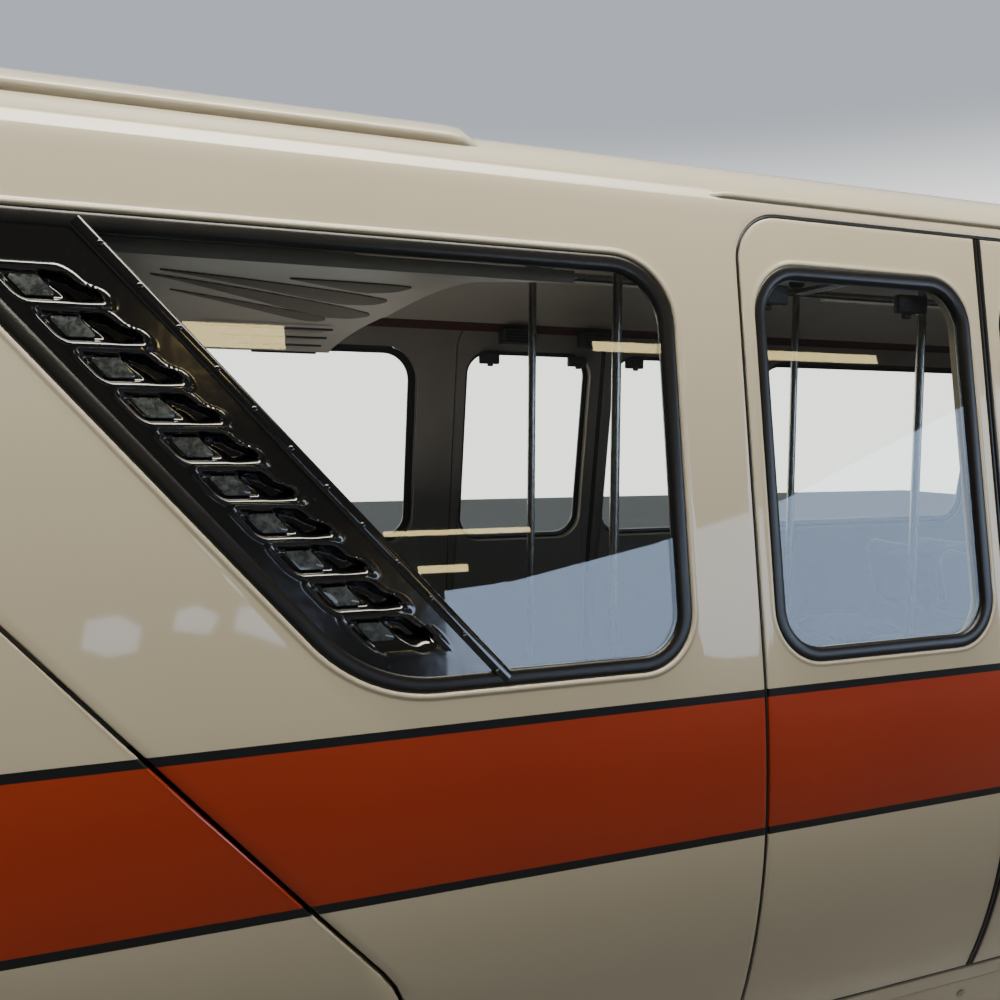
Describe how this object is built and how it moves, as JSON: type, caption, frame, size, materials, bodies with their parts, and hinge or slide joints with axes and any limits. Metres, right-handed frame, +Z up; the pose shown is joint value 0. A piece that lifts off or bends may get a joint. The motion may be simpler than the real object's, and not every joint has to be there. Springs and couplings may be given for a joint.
{
  "type": "straddle monorail end car",
  "caption": "End car of a straddle monorail train: wedge nose, shut plug doors, slanted side windows, louvre panels, benches and two bogies with load and guide wheels.",
  "frame": {"origin": "on the beam's running surface, where the load tyres touch it, on the car's centreline, halfway between the nose tip and the end cover's face", "axes": "+Z up, the nose points to -X, the car's left side is -Y"},
  "size_m": [10.97, 2.736, 3.392],
  "materials": {
    "body_paint": "gloss cream paint with an orange-red waist stripe between black lines",
    "black_gloss": "gloss black moulding",
    "window_glass": "clear tinted glass",
    "underframe_steel": "dark satin paint",
    "interior_panel": "satin grey-brown moulding",
    "seat_cover": "dark woven seat cover",
    "pole_steel": "brushed stainless steel",
    "cover_rubber": "matt black folded rubber",
    "wheel_tyre": "black rubber"
  },
  "bodies": {
    "root": {"left_side_wall": "body_paint", "right_side_wall": "body_paint", "roof": "body_paint", "nose_shell": "body_paint", "left_skirt": "body_paint", "right_skirt": "body_paint", "left_door_1_leaf_a": "body_paint", "left_door_1_leaf_b": "body_paint", "left_door_2_leaf_a": "body_paint", "left_door_2_leaf_b": "body_paint", "right_door_1_leaf_a": "body_paint", "right_door_1_leaf_b": "body_paint", "right_door_2_leaf_a": "body_paint", "right_door_2_leaf_b": "body_paint", "windscreen": "window_glass", "left_front_glass": "window_glass", "left_centre_glass": "window_glass", "left_rear_glass": "window_glass", "right_front_glass": "window_glass", "right_centre_glass": "window_glass", "right_rear_glass": "window_glass", "left_door_1_glass_a": "window_glass", "left_door_1_glass_b": "window_glass", "left_door_2_glass_a": "window_glass", "left_door_2_glass_b": "window_glass", "right_door_1_glass_a": "window_glass", "right_door_1_glass_b": "window_glass", "right_door_2_glass_a": "window_glass", "right_door_2_glass_b": "window_glass", "left_louvre_panel": "black_gloss", "right_louvre_panel": "black_gloss", "floor_pan": "underframe_steel", "rear_bulkhead": "interior_panel", "end_cover": "cover_rubber", "cab_wall": "interior_panel", "front_bench": "seat_cover", "centre_bench": "seat_cover", "rear_bench": "seat_cover", "cab_desk": "interior_panel", "grab_poles": "pole_steel"},
    "left_cab_door": {"left_cab_door": "body_paint", "left_cab_glass": "window_glass"},
    "right_cab_door": {"right_cab_door": "body_paint", "right_cab_glass": "window_glass"},
    "front_bogie": {"front_bogie_frame": "underframe_steel"},
    "rear_bogie": {"rear_bogie_frame": "underframe_steel"},
    "front_load_wheels": {"front_load_wheels": "wheel_tyre"},
    "rear_load_wheels": {"rear_load_wheels": "wheel_tyre"},
    "front_left_guide_wheel_1": {"front_left_guide_wheel_1": "wheel_tyre"},
    "front_left_guide_wheel_2": {"front_left_guide_wheel_2": "wheel_tyre"},
    "front_left_lower_wheel": {"front_left_lower_wheel": "wheel_tyre"},
    "front_right_guide_wheel_1": {"front_right_guide_wheel_1": "wheel_tyre"},
    "front_right_guide_wheel_2": {"front_right_guide_wheel_2": "wheel_tyre"},
    "front_right_lower_wheel": {"front_right_lower_wheel": "wheel_tyre"},
    "rear_left_guide_wheel_1": {"rear_left_guide_wheel_1": "wheel_tyre"},
    "rear_left_guide_wheel_2": {"rear_left_guide_wheel_2": "wheel_tyre"},
    "rear_left_lower_wheel": {"rear_left_lower_wheel": "wheel_tyre"},
    "rear_right_guide_wheel_1": {"rear_right_guide_wheel_1": "wheel_tyre"},
    "rear_right_guide_wheel_2": {"rear_right_guide_wheel_2": "wheel_tyre"},
    "rear_right_lower_wheel": {"rear_right_lower_wheel": "wheel_tyre"}
  },
  "joints": [
    {"name": "left_cab_door_hinge", "type": "hinge", "parent": "root", "child": "left_cab_door", "pos_m": [-3.616, -1.294, 1.415], "axis": [0, -0.124, -0.9923], "range_deg": [0, 70]},
    {"name": "right_cab_door_hinge", "type": "hinge", "parent": "root", "child": "right_cab_door", "pos_m": [-3.616, 1.294, 1.415], "axis": [0, -0.124, 0.9923], "range_deg": [0, 70]},
    {"name": "front_bogie_yaw", "type": "hinge", "parent": "root", "child": "front_bogie", "pos_m": [-2.635, 0, 0.34], "axis": [0, 0, 1], "range_deg": [-4, 4]},
    {"name": "rear_bogie_yaw", "type": "hinge", "parent": "root", "child": "rear_bogie", "pos_m": [4.6, 0, 0.34], "axis": [0, 0, 1], "range_deg": [-4, 4]},
    {"name": "front_load_wheels_spin", "type": "hinge", "parent": "front_bogie", "child": "front_load_wheels", "pos_m": [-2.635, 0, 0.5], "axis": [0, 1, 0], "continuous": true},
    {"name": "rear_load_wheels_spin", "type": "hinge", "parent": "rear_bogie", "child": "rear_load_wheels", "pos_m": [4.6, 0, 0.5], "axis": [0, 1, 0], "continuous": true},
    {"name": "front_left_guide_wheel_1_spin", "type": "hinge", "parent": "front_bogie", "child": "front_left_guide_wheel_1", "pos_m": [-3.085, -0.53, -0.15], "axis": [0, 0, 1], "continuous": true},
    {"name": "front_left_guide_wheel_2_spin", "type": "hinge", "parent": "front_bogie", "child": "front_left_guide_wheel_2", "pos_m": [-2.185, -0.53, -0.15], "axis": [0, 0, 1], "continuous": true},
    {"name": "front_left_lower_wheel_spin", "type": "hinge", "parent": "front_bogie", "child": "front_left_lower_wheel", "pos_m": [-2.635, -0.53, -0.48], "axis": [0, 0, 1], "continuous": true},
    {"name": "front_right_guide_wheel_1_spin", "type": "hinge", "parent": "front_bogie", "child": "front_right_guide_wheel_1", "pos_m": [-3.085, 0.53, -0.15], "axis": [0, 0, 1], "continuous": true},
    {"name": "front_right_guide_wheel_2_spin", "type": "hinge", "parent": "front_bogie", "child": "front_right_guide_wheel_2", "pos_m": [-2.185, 0.53, -0.15], "axis": [0, 0, 1], "continuous": true},
    {"name": "front_right_lower_wheel_spin", "type": "hinge", "parent": "front_bogie", "child": "front_right_lower_wheel", "pos_m": [-2.635, 0.53, -0.48], "axis": [0, 0, 1], "continuous": true},
    {"name": "rear_left_guide_wheel_1_spin", "type": "hinge", "parent": "rear_bogie", "child": "rear_left_guide_wheel_1", "pos_m": [4.15, -0.53, -0.15], "axis": [0, 0, 1], "continuous": true},
    {"name": "rear_left_guide_wheel_2_spin", "type": "hinge", "parent": "rear_bogie", "child": "rear_left_guide_wheel_2", "pos_m": [5.05, -0.53, -0.15], "axis": [0, 0, 1], "continuous": true},
    {"name": "rear_left_lower_wheel_spin", "type": "hinge", "parent": "rear_bogie", "child": "rear_left_lower_wheel", "pos_m": [4.6, -0.53, -0.48], "axis": [0, 0, 1], "continuous": true},
    {"name": "rear_right_guide_wheel_1_spin", "type": "hinge", "parent": "rear_bogie", "child": "rear_right_guide_wheel_1", "pos_m": [4.15, 0.53, -0.15], "axis": [0, 0, 1], "continuous": true},
    {"name": "rear_right_guide_wheel_2_spin", "type": "hinge", "parent": "rear_bogie", "child": "rear_right_guide_wheel_2", "pos_m": [5.05, 0.53, -0.15], "axis": [0, 0, 1], "continuous": true},
    {"name": "rear_right_lower_wheel_spin", "type": "hinge", "parent": "rear_bogie", "child": "rear_right_lower_wheel", "pos_m": [4.6, 0.53, -0.48], "axis": [0, 0, 1], "continuous": true}
  ]
}
